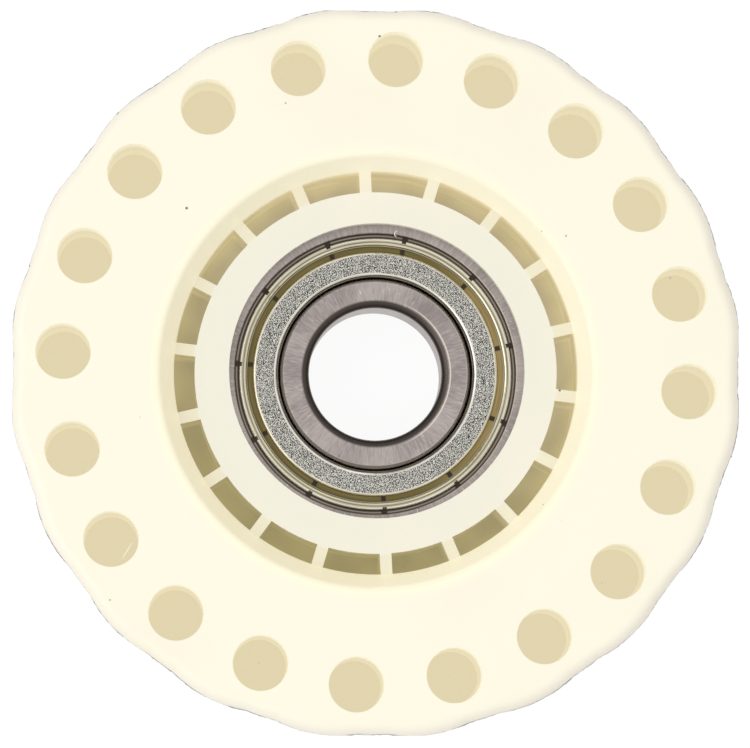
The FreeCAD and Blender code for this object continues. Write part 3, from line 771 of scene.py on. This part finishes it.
def new_surface(name, points, material, body, wrap_rows=False, wrap_columns=False):
    """A smooth mesh from a grid of points in metres, riding on a body."""
    rows, columns = points.shape[:2]
    faces = grid_faces(rows, columns, wrap_rows, wrap_columns)
    mesh = bpy.data.meshes.new(name)
    mesh.from_pydata(points.reshape(-1, 3).tolist(), [], faces.tolist())
    mesh.polygons.foreach_set("use_smooth", np.ones(len(faces), dtype=bool))
    mesh.materials.append(material)
    mesh.update()
    piece = bpy.data.objects.new(name, mesh)
    scene.collection.objects.link(piece)
    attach(piece, body)
    print(name, "faces:", len(faces))
    return piece


def waves(angle, seed, counts, size):
    """A closed random wave round the circle: a sum of cosines with seeded phases and strengths."""
    chance = np.random.default_rng(seed)
    phases = chance.uniform(0, 2 * np.pi, len(counts))
    strengths = chance.uniform(0.4, 1.0, len(counts))
    parts = strengths[:, None] * np.cos(np.outer(counts, angle) + phases[:, None])
    return size * parts.sum(axis=0) / np.sqrt(len(counts))


print("grid helpers ready")

# %% [markdown]
# The blasted flat of the shield. Shot leaves shallow round dents side by side, about a fifth of a
# millimetre across. Smoothed random heights on a ring-shaped grid give the same look: each row is
# one circle, and the noise wraps round it without a seam. Finer pits are left to the material, as a
# speckle of near-black painted shade and pale painted sparkle.

# %% Blasted skin
SKIN_INNER = 13.0 * MM
SKIN_OUTER = 15.32 * MM
SKIN_ROWS = 44
SKIN_COLUMNS = 1400
SKIN_LIFT = 0.02 * MM
SKIN_RELIEF = 0.010 * MM
PIT_SHADE, PIT_SPARKLE = (0.03, 0.03, 0.03), (0.80, 0.78, 0.70)


def smooth_ring(values, passes):
    """Average each value with its neighbours, wrapping round the ring but not across it."""
    for _ in range(passes):
        values = (np.roll(values, 1, axis=1) + 2 * values + np.roll(values, -1, axis=1)) / 4
        inner = np.vstack([values[:1], values[:-1]])
        outer = np.vstack([values[1:], values[-1:]])
        values = (inner + 2 * values + outer) / 4
    return values


def make_blasted_skin():
    """Height = seeded noise, smoothed to dents a few cells wide and faded to nothing at both edges."""
    chance = np.random.default_rng(7)
    relief = smooth_ring(chance.normal(size=(SKIN_ROWS, SKIN_COLUMNS)), 1)
    relief = relief / np.abs(relief).max()
    across = np.linspace(0.0, 1.0, SKIN_ROWS)
    edge = np.clip(np.minimum(across, 1.0 - across) * 20.0, -0.2, 1.0)
    height = shield_top + (SKIN_LIFT + SKIN_RELIEF * relief) * edge[:, None]
    angle = np.arange(SKIN_COLUMNS) / SKIN_COLUMNS * 2 * np.pi
    radius = SKIN_INNER + (SKIN_OUTER - SKIN_INNER) * across
    x = radius[:, None] * np.cos(angle)
    y = radius[:, None] * np.sin(angle)
    return np.stack([x, y, height], axis=2)


def make_blasted_steel():
    """Steel speckled by fine noise, near-black painted shade for pits and pale painted sparkle, turned
    askew so that its grid never lies in the sheet.
    """
    material, tree, shader = new_material("blasted_steel", Metallic=1.0, Roughness=0.4)
    turned = add(tree, "ShaderNodeMapping", Rotation=(0.6, 0.4, 0.9))
    tree.links.new(object_place(tree), turned.inputs["Vector"])
    pits = noise(tree, turned.outputs[0], 9500.0, 2.0)
    mask = fade(tree, pits, 0.44, 0.60)
    # Painted shade and sparkle: near-black and pale speckle by noise.
    tree.links.new(blend(tree, mask, PIT_SHADE, PIT_SPARKLE), shader.inputs["Base Color"])
    return material


blasted_steel = make_blasted_steel()
skin_points = make_blasted_skin()
new_surface(
    "shield_blasting", skin_points, blasted_steel, "wheel", wrap_columns=True,
)
print("skin relief", round(float(np.ptp(skin_points[..., 2])) / MM, 3), "mm")

# %% [markdown]
# The mould's two halves meet on the rim, and a little plastic has crept between them: a thin
# ragged fin all round. It is a closed ribbon whose section is a narrow triangle, and its width
# wanders as torn flash does.

# %% Rim flash
LOBES = 20
LOBE_TURN = math.radians(8.5)
LOBE_SPAN = math.radians(13.0)
VALLEY = 46.2 * MM
PEAK = 46.7 * MM
FLASH_HEIGHT = wheel_height - 1.7 * MM
FLASH_POINTS = 3600
FLASH_ROOT = 0.15 * MM
ROOT_HALF = 0.07 * MM
TIP_HALF = 0.012 * MM
FLASH_WAVES = (7, 13, 23, 41, 67, 97, 151, 223, 317, 431)


def rim_outline(angle):
    """The lobed rim's radius: a circle, and on it arcs that have their own centres further in.

    With a = the centres' distance and b = the arcs' radius, an arc lies at
    a cos(t) + sqrt(b^2 - (a sin(t))^2), where t is the angle from its peak; the larger radius counts.
    """
    step = 2 * np.pi / LOBES
    t = (angle - LOBE_TURN + step / 2) % step - step / 2
    half_chord = VALLEY * np.sin(LOBE_SPAN / 2)
    rise = PEAK - VALLEY * np.cos(LOBE_SPAN / 2)
    b = (half_chord ** 2 + rise ** 2) / (2 * rise)
    a = PEAK - b
    return np.maximum(a * np.cos(t) + np.sqrt(b ** 2 - (a * np.sin(t)) ** 2), VALLEY)


def make_flash():
    """Section points round the rim: root below, tip below, tip above and root above.

    The fin stays inside the solids' own box, so it is thinnest where the wheel is widest.
    """
    angle = np.arange(FLASH_POINTS) / FLASH_POINTS * 2 * np.pi
    width = 0.11 * MM + waves(angle, 3, np.array(FLASH_WAVES), 0.05 * MM)
    width = np.clip(width, 0.02 * MM, 0.22 * MM)
    outline = rim_outline(angle)
    root = -FLASH_ROOT
    rows = []
    for out, lift in ((root, -ROOT_HALF), (width, -TIP_HALF), (width, TIP_HALF), (root, ROOT_HALF)):
        radius = outline + out
        x = np.clip(radius * np.cos(angle), cad_box[0].x, cad_box[1].x)
        y = np.clip(radius * np.sin(angle), cad_box[0].y, cad_box[1].y)
        rows.append(np.stack([x, y, np.full_like(angle, FLASH_HEIGHT + lift)], axis=1))
    return np.stack(rows)


def make_flash_nylon():
    """Thin see-through plastic, shown pale grey with grey and dark stretches by noise."""
    material, tree, shader = new_material("flash_nylon", Roughness=0.4, IOR=1.53)
    place = object_place(tree)
    # Grey and dark stretches by noise along the fin.
    grey_stretch = fade(tree, noise(tree, place, 260.0, 3.0), 0.42, 0.62)
    colour = blend(tree, grey_stretch, (0.86, 0.84, 0.78), (0.42, 0.42, 0.43))
    dark_stretch = fade(tree, noise(tree, place, 900.0, 2.0), 0.66, 0.72)
    tree.links.new(blend(tree, dark_stretch, colour, (0.12, 0.11, 0.11)), shader.inputs["Base Color"])
    return material


flash_nylon = make_flash_nylon()
new_surface(
    "rim_flash", make_flash(), flash_nylon, "wheel",
    wrap_rows=True, wrap_columns=True,
)

# %% [markdown]
# Two small leftovers are in the picture as well: a curled sliver of steel on the edge of the outer
# ring, near the top, and a hair of plastic in a pocket at the lower left. Each is a thin tube along a
# path. Round a path point the section is a circle in the plane across the path, and its radius falls
# to nothing at both ends, so the tube closes by itself.

# %% Sliver and hair


def tube(path, thickness, sides=10):
    """Points round a path: centre + r (side cos(t) + up sin(t)), with r = thickness sqrt(sin(pi s)).

    s runs from 0 to 1 along the path. The side direction is the path's own turned in the level plane.
    """
    along = np.gradient(path, axis=0)
    along /= np.linalg.norm(along, axis=1, keepdims=True)
    side = np.cross(along, [0.0, 0.0, 1.0])
    side /= np.linalg.norm(side, axis=1, keepdims=True)
    up = np.cross(side, along)
    share = np.linspace(0.0, 1.0, len(path))
    radius = thickness * np.sqrt(np.clip(np.sin(np.pi * share), 0.0001, 1.0))
    turn = np.arange(sides) / sides * 2 * np.pi
    ring = side[:, None] * np.cos(turn)[:, None] + up[:, None] * np.sin(turn)[:, None]
    return path[:, None] + ring * radius[:, None, None]


def curl(centre, reach, start, end, lift, count=24):
    """An arc in the level plane about a centre, which rises by lift from one end to the other."""
    angle = np.radians(np.linspace(start, end, count))
    x = centre[0] + reach * np.cos(angle)
    y = centre[1] + reach * np.sin(angle)
    z = centre[2] + np.linspace(0.0, lift, count)
    return np.stack([x, y, z], axis=1)


sliver_centre = (2.85 * MM, 17.95 * MM, ring_face + 0.05 * MM)
sliver_path = curl(sliver_centre, 0.38 * MM, 75.0, 255.0, 0.1 * MM)
sliver_tube = tube(sliver_path, 0.07 * MM)
# Painted glint: the steel sliver is near-white and not metallic, for the light it catches.
sliver_glint = new_material("sliver_glint", Base_Color=(0.95, 0.93, 0.90, 1.0), Roughness=0.35)[0]
new_surface("ring_sliver", sliver_tube, sliver_glint, "wheel", wrap_columns=True)

hair_centre = (-51.2 * MM, -11.6 * MM, wheel_height - 1.6 * MM)
hair_path = curl(hair_centre, 22.5 * MM, 326.7, 333.2, -0.6 * MM)
hair_tube = tube(hair_path, 0.06 * MM)
hair_nylon = new_material("hair_nylon", Base_Color=(0.97, 0.93, 0.80, 1.0), Roughness=0.4, IOR=1.53)[0]
new_surface("pocket_hair", hair_tube, hair_nylon, "wheel", wrap_columns=True)
